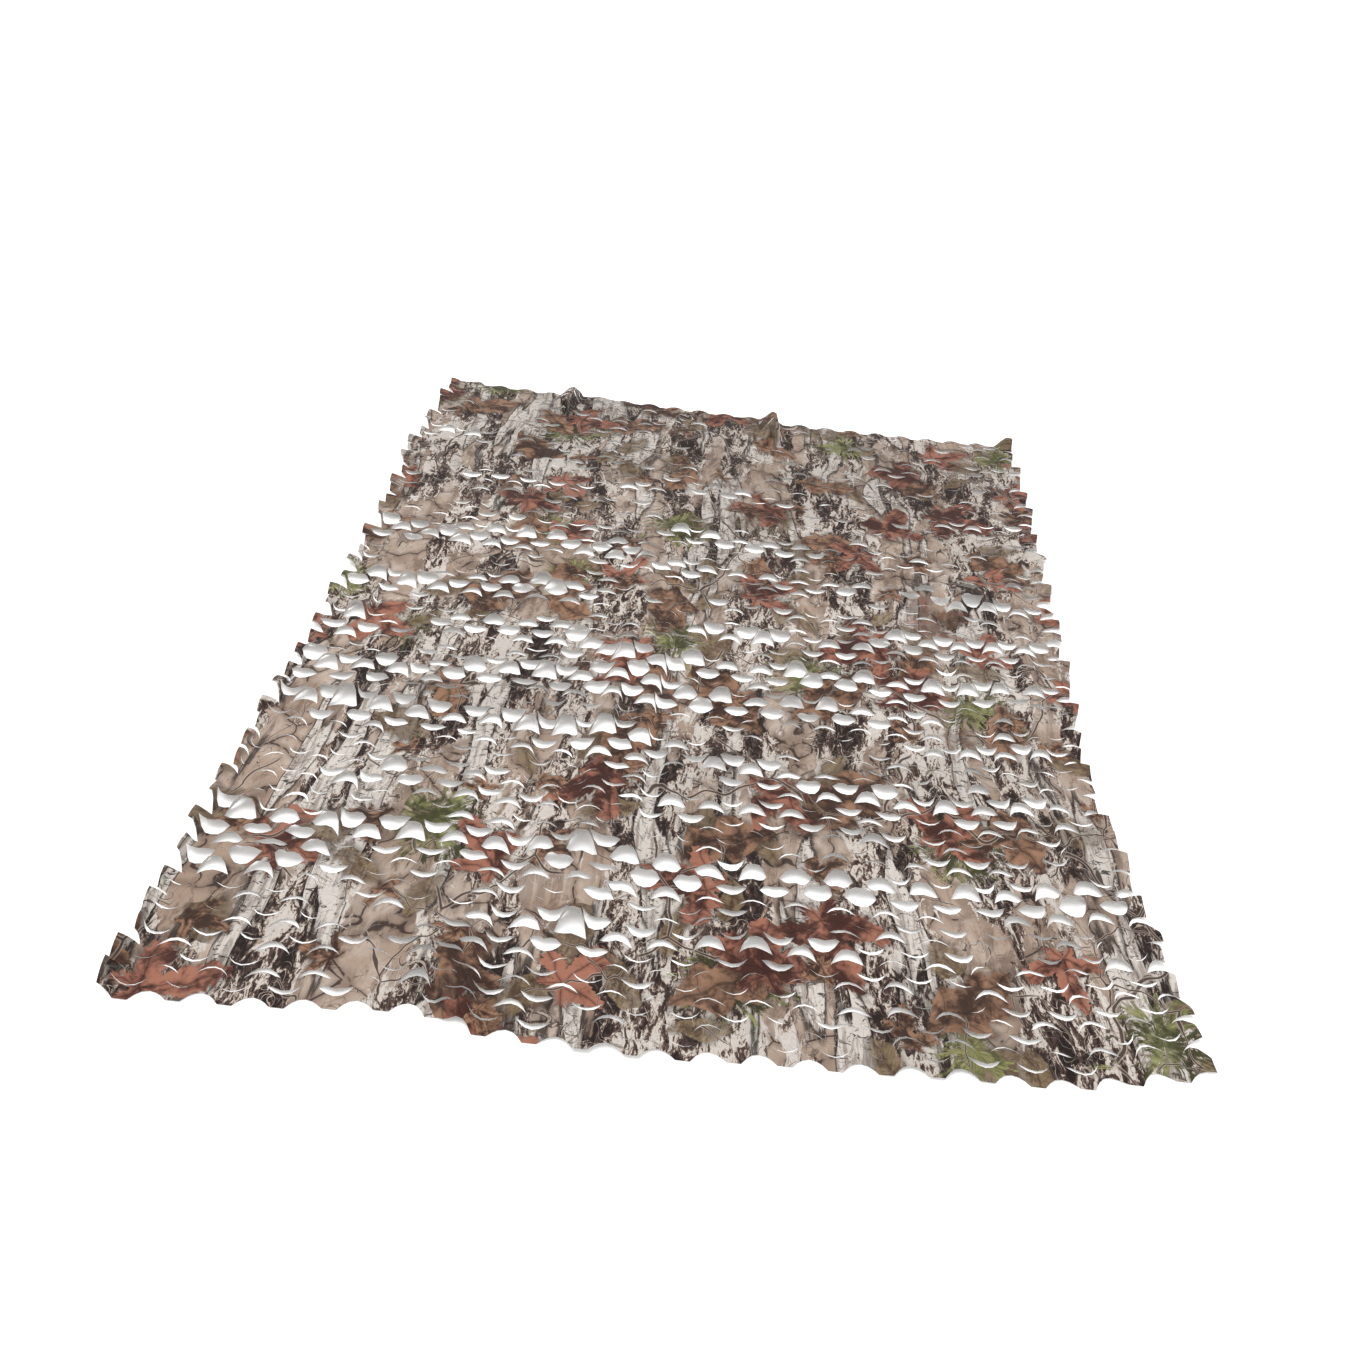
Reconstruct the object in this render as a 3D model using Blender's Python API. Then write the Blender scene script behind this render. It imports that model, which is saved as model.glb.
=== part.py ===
"""A die-cut camouflage net: one sheet of cloth, 1.5 m wide, lying on a flat surface.

Short curved slits let the sheet open like a mesh when it is pulled lengthwise. Rows of slits that arch
towards the back edge alternate with rows that arch towards the front. Here they stand at up to twice their
real pitch, each at its real size.

Frame: +X is the net's right, +Y runs from its front edge to its back edge, +Z is up.
The origin is the bottom centre of the net's box. The unit is the metre.
"""

import math
from typing import NamedTuple

import bmesh
import bpy
from mathutils import Vector
from mathutils.geometry import delaunay_2d_cdt

# The cloth and its slits.
THICKNESS = 0.0015
SLIT_CHORD = 0.048
SLIT_RISE = 0.0145
COLUMN_PITCH = 1.0 / 22.2  # as a share of the width
ROW_PITCH = 1.0 / 43.0  # as a share of the length
KEPT_COLUMNS = 2  # one slit is kept in this many columns
KEPT_ROWS = 27  # along the whole length
PLAIN_GAP = 0.0055  # of a slit that is hardly pulled open
LIP_LIFT = 0.0035  # of a slit's far lip, and then a share of its gap
LIP_LIFT_SHARE = 0.25
MIDDLE_STRETCH = 0.06  # how much longer the rows are in mid-length than the mean


class SideStation(NamedTuple):
    """Where the two long edges run, at a share of the net's length."""

    along: float
    left: float
    right: float


class EndStation(NamedTuple):
    """Where the front and back edges run, at a share of the net's width."""

    across: float
    front: float
    back: float


class Band(NamedTuple):
    """A row of slits that the pull has opened wide."""

    along: float
    start: float
    end: float
    gap: float


class Ridge(NamedTuple):
    """A fold that stands up from the sheet; heading is in degrees from +Y towards +X."""

    x: float
    y: float
    heading: float
    half_length: float
    half_width: float
    height: float


SIDES = (
    SideStation(along=0.00, left=-0.757, right=0.747),
    SideStation(along=0.10, left=-0.758, right=0.731),
    SideStation(along=0.20, left=-0.758, right=0.712),
    SideStation(along=0.32, left=-0.752, right=0.696),
    SideStation(along=0.46, left=-0.748, right=0.720),
    SideStation(along=0.60, left=-0.748, right=0.735),
    SideStation(along=0.72, left=-0.757, right=0.746),
    SideStation(along=0.81, left=-0.775, right=0.757),
    SideStation(along=0.90, left=-0.759, right=0.761),
    SideStation(along=1.00, left=-0.757, right=0.756),
)

ENDS = (
    EndStation(across=0.00, front=-1.030, back=1.036),
    EndStation(across=0.10, front=-1.020, back=1.016),
    EndStation(across=0.28, front=-1.000, back=1.008),
    EndStation(across=0.33, front=-1.022, back=1.008),
    EndStation(across=0.45, front=-1.030, back=1.002),
    EndStation(across=0.62, front=-1.016, back=0.978),
    EndStation(across=0.84, front=-1.004, back=0.980),
    EndStation(across=1.00, front=-0.966, back=0.990),
)

BANDS = (
    Band(along=0.17, start=0.02, end=0.98, gap=0.013),
    Band(along=0.24, start=0.52, end=0.96, gap=0.008),
    Band(along=0.31, start=0.04, end=0.92, gap=0.012),
    Band(along=0.39, start=0.03, end=0.46, gap=0.015),
    Band(along=0.39, start=0.52, end=0.78, gap=0.012),
    Band(along=0.44, start=0.30, end=0.95, gap=0.015),
    Band(along=0.50, start=0.04, end=0.32, gap=0.009),
    Band(along=0.52, start=0.45, end=0.96, gap=0.014),
    Band(along=0.61, start=0.02, end=0.32, gap=0.013),
    Band(along=0.61, start=0.62, end=0.96, gap=0.010),
    Band(along=0.67, start=0.40, end=0.90, gap=0.010),
    Band(along=0.77, start=0.45, end=1.00, gap=0.006),
    Band(along=0.85, start=0.02, end=0.40, gap=0.008),
)
BAND_HALF_LENGTH = 0.022  # as a share of the net's length
BAND_END_FADE = 0.04  # as a share of its width

RIDGES = (
    Ridge(x=-0.425, y=0.950, heading=15.0, half_length=0.078, half_width=0.032, height=0.034),
    Ridge(x=0.123, y=0.915, heading=-6.0, half_length=0.082, half_width=0.036, height=0.046),
    Ridge(x=-0.010, y=0.700, heading=1.8, half_length=0.280, half_width=0.022, height=0.011),
    Ridge(x=-0.300, y=-0.950, heading=-38.0, half_length=0.090, half_width=0.045, height=0.016),
    Ridge(x=0.520, y=0.200, heading=76.0, half_length=0.260, half_width=0.060, height=0.012),
    Ridge(x=-0.450, y=-0.330, heading=84.0, half_length=0.240, half_width=0.055, height=0.012),
)
CORNER_FLAP_REACH = 0.050  # the back right corner is turned up
CORNER_FLAP_HEIGHT = 0.026

WAVE_HEIGHT = 0.009
WAVE_LENGTH_X = 0.46
WAVE_LENGTH_Y = 0.37
WAVE_FLOOR = 0.25  # share of a wave that is pressed flat on the surface

# The cut edges. An arc's points are given as shares of half its chord.
SLIT_POINTS = (-1.0, -0.5, 0.5, 1.0)
SCALLOP_POINTS = (-1.0, -0.6, 0.0, 0.6, 1.0)
TOOTH_OUT = 0.005
TOOTH_IN = 0.007
TOOTH_SLANT = 0.30  # of a row's length
EDGE_CLEARANCE = 0.020  # between the inner points and the edges

CLOTH_COLOUR = (0.36, 0.29, 0.24, 1.0)
CLOTH_ROUGHNESS = 0.75


def smooth_step(value: float) -> float:
    """Returns value, cut to 0..1 and eased at both ends."""
    value = min(max(value, 0.0), 1.0)
    return value * value * (3.0 - 2.0 * value)


def between_stations(stations: tuple, column: str, share: float) -> float:
    """Returns a column of a table of stations at a share of the way, eased between its rows."""
    for low, high in zip(stations, stations[1:]):
        if share <= high[0]:
            break
    ease = smooth_step((share - low[0]) / (high[0] - low[0]))
    return getattr(low, column) * (1.0 - ease) + getattr(high, column) * ease


def place(across: float, along: float) -> Vector:
    """Returns the plan position of a point given by its shares of the width and the length."""
    left = between_stations(SIDES, "left", along)
    right = between_stations(SIDES, "right", along)
    front = between_stations(ENDS, "front", across)
    back = between_stations(ENDS, "back", across)
    pulled = along - MIDDLE_STRETCH * math.sin(2.0 * math.pi * along) / (2.0 * math.pi)
    return Vector((left + (right - left) * across, front + (back - front) * pulled))


def gap_of(across: float, along: float) -> float:
    """Returns how far a slit is pulled open at its middle."""
    gap = PLAIN_GAP
    for band in BANDS:
        reach = math.exp(-(((along - band.along) / BAND_HALF_LENGTH) ** 2))
        reach *= smooth_step((across - band.start) / BAND_END_FADE + 0.5)
        reach *= smooth_step((band.end - across) / BAND_END_FADE + 0.5)
        gap += band.gap * reach
    return gap


def ridge_height(ridge: Ridge, point: Vector) -> float:
    """Returns how far one fold lifts the sheet at a plan position."""
    heading = math.radians(ridge.heading)
    run = Vector((math.sin(heading), math.cos(heading)))
    offset = point - Vector((ridge.x, ridge.y))
    forward = abs(offset.dot(run)) / ridge.half_length
    sideways = abs(offset.dot(run.orthogonal())) / ridge.half_width
    return ridge.height * smooth_step(1.6 * (1.0 - forward)) * max(0.0, 1.0 - sideways) ** 1.3


def sheet_height(point: Vector) -> float:
    """Returns the height of the sheet's underside at a plan position."""
    wave = math.sin(2.0 * math.pi * (point.x / WAVE_LENGTH_X + 0.55 * point.y))
    wave *= math.sin(2.0 * math.pi * (point.y / WAVE_LENGTH_Y - 0.40 * point.x))
    height = WAVE_HEIGHT * max(0.0, wave - WAVE_FLOOR)
    height += sum(ridge_height(ridge, point) for ridge in RIDGES)
    from_corner = (point - place(1.0, 1.0)).length / CORNER_FLAP_REACH
    return height + CORNER_FLAP_HEIGHT * smooth_step(1.0 - from_corner)


def slit_loop(across: float, along: float, arches_back: bool) -> list[Vector]:
    """Returns the points round one open slit, near lip first, from its left end.

    Args:
        across: the middle of the slit, as a share of the width.
        along: the middle of the slit, as a share of the length.
        arches_back: whether the slit arches towards the back edge.
    """
    middle = place(across, along)
    gap = gap_of(across, along)
    half = 0.5 * SLIT_CHORD
    sign = 1.0 if arches_back else -1.0
    near = []
    far = []
    for share in SLIT_POINTS:
        arch = sign * SLIT_RISE * (0.5 - share * share)
        open_here = gap * (1.0 - share * share)
        x = middle.x + half * share
        for lip, side, lift in ((near, -0.5, 0.0), (far, 0.5, LIP_LIFT + LIP_LIFT_SHARE * gap)):
            point = Vector((x, middle.y + arch + side * open_here))
            raised = sheet_height(point) + lift * (1.0 - share * share)
            lip.append(Vector((point.x, point.y, raised)))
    return near + far[-2:0:-1]


def slit_loops() -> list[list[Vector]]:
    """Returns the slits: rows that arch back and rows that arch forward in turn, set off by half a column step."""
    loops = []
    columns = int(1.0 / COLUMN_PITCH / KEPT_COLUMNS)
    for row in range(KEPT_ROWS):
        arches_back = row % 2 == 0
        along = (row + 0.5) / KEPT_ROWS
        first = 0.5 if arches_back else 1.0
        for column in range(columns if arches_back else columns - 1):
            across = KEPT_COLUMNS * (column + first) * COLUMN_PITCH
            loops.append(slit_loop(across, along, arches_back))
    return loops


def end_points(along: float) -> list[Vector]:
    """Returns the plan points of the front or back edge, left to right.

    Both edges are cut along a row of slits that arch back. So the front edge has a hollow at each column
    and a blunt tip between two, and the back edge has a round tongue at each column and a notch between two.

    Args:
        along: 0 for the front edge, 1 for the back edge.
    """
    points = []
    half = 0.5 * SLIT_CHORD
    columns = int(1.0 / COLUMN_PITCH)
    for column in range(1, columns):
        middle = place(column * COLUMN_PITCH, along)
        for share in SCALLOP_POINTS:
            arch = SLIT_RISE * (1.0 - share * share - along)
            points.append(Vector((middle.x + half * share, middle.y + arch)))
    return points


def side_points(across: float, outward: float) -> list[Vector]:
    """Returns the plan points of a long edge, front to back: a tooth where each row of slits runs out."""
    points = []
    rows = int(1.0 / ROW_PITCH)
    for row in range(1, rows):
        notch = place(across, row * ROW_PITCH)
        tip = place(across, (row + TOOTH_SLANT) * ROW_PITCH)
        points.append(notch - Vector((outward * TOOTH_IN, 0.0)))
        points.append(tip + Vector((outward * TOOTH_OUT, 0.0)))
    return points


def edge_loop() -> list[Vector]:
    """Returns the points round the whole sheet, anticlockwise seen from above."""
    front = [place(0.0, 0.0)] + end_points(0.0) + [place(1.0, 0.0)]
    back = [place(0.0, 1.0)] + end_points(1.0) + [place(1.0, 1.0)]
    plan = front + side_points(1.0, 1.0) + back[::-1] + side_points(0.0, -1.0)[::-1]
    return [Vector((point.x, point.y, sheet_height(point))) for point in plan]


def inner_points() -> list[Vector]:
    """Returns points that carry the waves and folds between the rows of slits."""
    plan = []
    columns = int(1.0 / COLUMN_PITCH / KEPT_COLUMNS)
    for row in range(KEPT_ROWS + 1):
        shift = 0.75 if row % 2 else 0.25
        for column in range(columns):
            plan.append(place(KEPT_COLUMNS * (column + shift) * COLUMN_PITCH, row / KEPT_ROWS))
    for ridge in RIDGES:
        heading = math.radians(ridge.heading)
        run = Vector((math.sin(heading), math.cos(heading)))
        for forward in (-0.75, -0.4, 0.0, 0.4, 0.75):
            crest = Vector((ridge.x, ridge.y)) + run * (forward * ridge.half_length)
            plan.append(crest)
            for sideways in (-1.0, 1.0):
                plan.append(crest + run.orthogonal() * (sideways * ridge.half_width))
    return [Vector((point.x, point.y, sheet_height(point))) for point in plan]


def is_inside(point: Vector, loop: list[Vector]) -> bool:
    """Returns whether a plan position is inside a loop."""
    inside = False
    for start, end in zip(loop, loop[1:] + loop[:1]):
        if (start.y > point.y) != (end.y > point.y):
            crossing = start.x + (point.y - start.y) / (end.y - start.y) * (end.x - start.x)
            if point.x < crossing:
                inside = not inside
    return inside


def distance_to_loop(point: Vector, loop: list[Vector]) -> float:
    """Returns the plan distance from a point to the nearest side of a loop."""
    nearest = math.inf
    for start, end in zip(loop, loop[1:] + loop[:1]):
        side = (end - start).xy
        share = min(max((point - start).xy.dot(side) / side.length_squared, 0.0), 1.0)
        nearest = min(nearest, ((point - start).xy - side * share).length)
    return nearest


def near_loop(point: Vector, loop: list[Vector], reach: float) -> bool:
    """Returns whether a point is within a loop's box, made larger all round by reach."""
    xs = [corner.x for corner in loop]
    ys = [corner.y for corner in loop]
    return min(xs) - reach < point.x < max(xs) + reach and min(ys) - reach < point.y < max(ys) + reach


def clear_points(edge: list[Vector], slits: list[list[Vector]]) -> list[Vector]:
    """Returns the inner points that stay clear of the edge, of every slit and of each other."""
    kept = []
    for point in inner_points():
        if not is_inside(point, edge) or distance_to_loop(point, edge) < EDGE_CLEARANCE:
            continue
        crowded = any(
            near_loop(point, slit, EDGE_CLEARANCE)
            and (is_inside(point, slit) or distance_to_loop(point, slit) < 0.5 * EDGE_CLEARANCE)
            for slit in slits
        )
        if crowded or any((point - other).length < 0.5 * EDGE_CLEARANCE for other in kept):
            continue
        kept.append(point)
    return kept


def cut_sheet(name: str, material: bpy.types.Material) -> bpy.types.Object:
    """Builds the sheet's underside as triangles between its edge and its slits, then gives it its thickness."""
    edge = edge_loop()
    slits = slit_loops()
    points = []
    sides = []
    for loop in [edge] + slits:
        first = len(points)
        points.extend(loop)
        sides.extend((first + i, first + (i + 1) % len(loop)) for i in range(len(loop)))
    points.extend(clear_points(edge, slits))

    plan = [point.xy for point in points]
    triangles_within = 1
    corners, _, faces, sources, _, _ = delaunay_2d_cdt(plan, sides, [], triangles_within, 1e-6)

    bm = bmesh.new()
    verts = [
        bm.verts.new((corner.x, corner.y, points[source[0]].z)) for corner, source in zip(corners, sources)
    ]
    for face in faces:
        middle = sum((verts[i].co for i in face), Vector()) / len(face)
        if any(near_loop(middle, slit, 0.0) and is_inside(middle, slit) for slit in slits):
            continue
        if is_inside(middle, edge):
            bm.faces.new([verts[i] for i in face])
    bmesh.ops.delete(bm, geom=[vert for vert in bm.verts if not vert.link_faces], context="VERTS")
    bmesh.ops.recalc_face_normals(bm, faces=bm.faces)
    if sum(face.normal.z for face in bm.faces) < 0.0:
        bmesh.ops.reverse_faces(bm, faces=bm.faces)

    low = Vector([min(vert.co[axis] for vert in bm.verts) for axis in range(3)])
    high = Vector([max(vert.co[axis] for vert in bm.verts) for axis in range(3)])
    centre = (low + high) / 2.0
    bmesh.ops.translate(bm, verts=bm.verts, vec=(-centre.x, -centre.y, 0.0))

    mesh = bpy.data.meshes.new(name)
    bm.to_mesh(mesh)
    bm.free()
    mesh.materials.append(material)
    sheet = bpy.data.objects.new(name, mesh)
    bpy.context.scene.collection.objects.link(sheet)
    solid = sheet.modifiers.new("cloth thickness", "SOLIDIFY")
    solid.thickness = THICKNESS
    solid.offset = 1.0
    return sheet


def cloth_material() -> bpy.types.Material:
    """Returns the printed cloth's material in one mean colour."""
    material = bpy.data.materials.new("printed cloth")
    material.use_nodes = True
    shader = material.node_tree.nodes["Principled BSDF"]
    shader.inputs["Base Color"].default_value = CLOTH_COLOUR
    shader.inputs["Roughness"].default_value = CLOTH_ROUGHNESS
    shader.inputs["Metallic"].default_value = 0.0
    return material


def main() -> None:
    """Clears the scene and builds the net."""
    for old in list(bpy.data.objects):
        bpy.data.objects.remove(old, do_unlink=True)
    cut_sheet("net", cloth_material())


main()
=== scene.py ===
"""The dressed model of a die-cut camouflage net: its slit cloth, its print, the floor and the lights.

The cloth is one sheet. Rows of slits that arch towards the back edge alternate with rows that arch towards
the front, so it is made of bricks: pieces of cloth between one slit and the next in the same column, each
joined at its ends to the bricks between the columns. Pulling the sheet moves each brick nearly as a whole.

Frame: +X is the net's right, +Y runs from its front edge to its back edge, +Z is up. The unit is the metre.
"""

import logging
import math
import random
from dataclasses import dataclass
from enum import Enum
from typing import NamedTuple

import bmesh
import bpy
from mathutils import Matrix, Vector, noise


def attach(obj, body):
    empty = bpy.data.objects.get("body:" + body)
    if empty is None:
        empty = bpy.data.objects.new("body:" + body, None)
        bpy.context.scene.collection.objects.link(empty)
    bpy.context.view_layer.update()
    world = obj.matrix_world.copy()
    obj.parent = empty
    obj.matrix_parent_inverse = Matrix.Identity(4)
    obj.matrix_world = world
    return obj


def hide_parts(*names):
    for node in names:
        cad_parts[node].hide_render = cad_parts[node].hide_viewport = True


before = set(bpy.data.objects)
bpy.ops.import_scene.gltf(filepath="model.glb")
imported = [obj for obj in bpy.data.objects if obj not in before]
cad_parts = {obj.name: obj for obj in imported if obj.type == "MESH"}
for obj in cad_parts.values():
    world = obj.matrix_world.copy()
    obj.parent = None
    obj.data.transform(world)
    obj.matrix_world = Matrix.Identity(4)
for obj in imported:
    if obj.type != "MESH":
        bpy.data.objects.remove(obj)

LOG = logging.getLogger("camouflage_net")


class SideStation(NamedTuple):
    """Where the two long edges run, at a share of the net's length."""

    along: float
    left: float
    right: float


class EndStation(NamedTuple):
    """Where the front and back edges run, at a share of the net's width."""

    across: float
    front: float
    back: float


class Band(NamedTuple):
    """A row of slits that the pull has opened wide.

    It runs across the net from start to end, and its end lies farther back than its start by rise.
    """

    start: float
    end: float
    along: float
    rise: float
    gap: float


class Ridge(NamedTuple):
    """A fold that stands up.

    The heading is in degrees from +Y towards +X, the lean is how much steeper its right side is than its
    left one, and the pinch is how far cloth is drawn to it.
    """

    x: float
    y: float
    heading: float
    half_length: float
    half_width: float
    height: float
    lean: float
    pinch: float


SIDES = (
    # along, left, right
    SideStation(0.00, -0.757, 0.747),
    SideStation(0.10, -0.758, 0.731),
    SideStation(0.20, -0.758, 0.712),
    SideStation(0.32, -0.752, 0.696),
    SideStation(0.46, -0.748, 0.720),
    SideStation(0.60, -0.748, 0.735),
    SideStation(0.72, -0.757, 0.746),
    SideStation(0.81, -0.775, 0.757),
    SideStation(0.90, -0.759, 0.761),
    SideStation(1.00, -0.757, 0.756),
)

ENDS = (
    # across, front, back
    EndStation(0.00, -1.030, 1.036),
    EndStation(0.10, -1.020, 1.016),
    EndStation(0.28, -1.000, 1.008),
    EndStation(0.33, -1.022, 1.008),
    EndStation(0.45, -1.030, 1.002),
    EndStation(0.62, -1.016, 0.978),
    EndStation(0.84, -1.004, 0.980),
    EndStation(1.00, -0.966, 0.990),
)

BANDS = (
    # start, end, along, rise, gap
    Band(0.00, 0.14, 0.130, 0.000, 0.012),
    Band(0.00, 0.46, 0.168, -0.010, 0.010),
    Band(0.30, 0.98, 0.100, -0.005, 0.006),
    Band(0.46, 0.98, 0.158, 0.006, 0.016),
    Band(0.03, 0.32, 0.232, -0.004, 0.007),
    Band(0.46, 0.78, 0.240, -0.012, 0.006),
    Band(0.02, 0.48, 0.312, -0.004, 0.012),
    Band(0.50, 0.76, 0.298, -0.022, 0.011),
    Band(0.68, 0.96, 0.268, -0.008, 0.011),
    Band(0.02, 0.46, 0.366, 0.022, 0.018),
    Band(0.46, 0.82, 0.372, 0.008, 0.014),
    Band(0.78, 0.98, 0.330, 0.010, 0.007),
    Band(0.00, 0.08, 0.432, 0.000, 0.014),
    Band(0.16, 0.40, 0.446, -0.004, 0.011),
    Band(0.42, 0.98, 0.430, 0.002, 0.015),
    Band(0.00, 0.34, 0.512, 0.008, 0.011),
    Band(0.48, 0.84, 0.484, 0.006, 0.012),
    Band(0.72, 1.00, 0.512, 0.004, 0.012),
    Band(0.50, 0.80, 0.545, 0.000, 0.006),
    Band(0.02, 0.38, 0.612, -0.002, 0.012),
    Band(0.44, 0.84, 0.604, -0.006, 0.007),
    Band(0.80, 1.00, 0.588, 0.002, 0.010),
    Band(0.46, 0.84, 0.670, -0.006, 0.009),
    Band(0.04, 0.34, 0.664, 0.000, 0.004),
    Band(0.08, 0.38, 0.750, 0.004, 0.005),
    Band(0.46, 0.72, 0.780, -0.004, 0.005),
    Band(0.80, 1.00, 0.765, 0.000, 0.005),
    Band(0.00, 0.14, 0.850, 0.000, 0.005),
)
BAND_HALF_LENGTH = 0.016  # as a share of the net's length
BAND_END_FADE = 0.09  # as a share of its width

RIDGES = (
    # x, y, heading, half_length, half_width, height, lean, pinch
    Ridge(-0.425, 0.950, 15.0, 0.078, 0.055, 0.031, 2.6, 0.006),
    Ridge(0.128, 0.915, -8.0, 0.085, 0.052, 0.043, 2.4, 0.008),
    Ridge(-0.010, 0.700, 1.8, 0.280, 0.022, 0.011, 1.0, 0.002),
    Ridge(-0.300, -0.950, -38.0, 0.090, 0.045, 0.016, 1.0, 0.002),
    Ridge(0.520, 0.200, 76.0, 0.260, 0.060, 0.012, 1.0, 0.000),
    Ridge(-0.450, -0.330, 84.0, 0.240, 0.055, 0.012, 1.0, 0.000),
)

# The rows at which the long edges step in or out, because groups of flaps lie together.
LEFT_STEPS = (0, 1, 2, 4, 5, 7, 9, 11, 13, 14, 16, 18, 20, 22, 25, 27, 30, 33, 35, 38, 41, 43)
RIGHT_STEPS = (0, 1, 3, 4, 6, 7, 9, 11, 14, 16, 18, 21, 24, 27, 30, 32, 35, 37, 40, 43)


def smooth_step(value: float) -> float:
    """Returns value, cut to 0..1 and eased at both ends."""
    value = min(max(value, 0.0), 1.0)
    return value * value * (3.0 - 2.0 * value)


def between_stations(stations: tuple, column: str, share: float) -> float:
    """Reads a table of stations between its rows.

    Args:
        stations: the table, in rising order of its first column.
        column: the name of the column to read.
        share: how far along the table, from 0 to 1.

    Returns:
        The column's value there, eased between the two rows next to it.
    """
    for low, high in zip(stations, stations[1:]):
        if share <= high[0]:
            break
    ease = smooth_step((share - low[0]) / (high[0] - low[0]))
    return getattr(low, column) * (1.0 - ease) + getattr(high, column) * ease


# The lines of points in a row: slit, lip, between, slit, lip, between, and the next row's slit.
LINE_SHARES = (0.0, 0.105, 0.30, 0.5, 0.605, 0.80, 1.0)
LINES_PER_ROW = len(LINE_SHARES) - 1
MIDDLE_LINE = LINES_PER_ROW // 2


class Lip(Enum):
    """Which edge of a slit a point is on: the one nearer to the net's front edge, or the farther one."""

    NEAR = 0
    FAR = 1


@dataclass
class Brick:
    """One piece of cloth between two slits of a column: how the pull has moved it from where it was cut."""

    shift: float  # along Y
    lift: float  # of its front end
    sway: float = 0.0  # along X
    tail: float = 0.0  # lift of its back end
    curl: float = 0.0  # how much more the lip at its front end stands up
    swell: float = 0.0  # of its middle
    turn: float = 0.0  # about Z, in radians
    roll: float = 0.0  # sideways slope
    bow: float = 0.0  # how far its two ends are ahead of its middle


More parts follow.
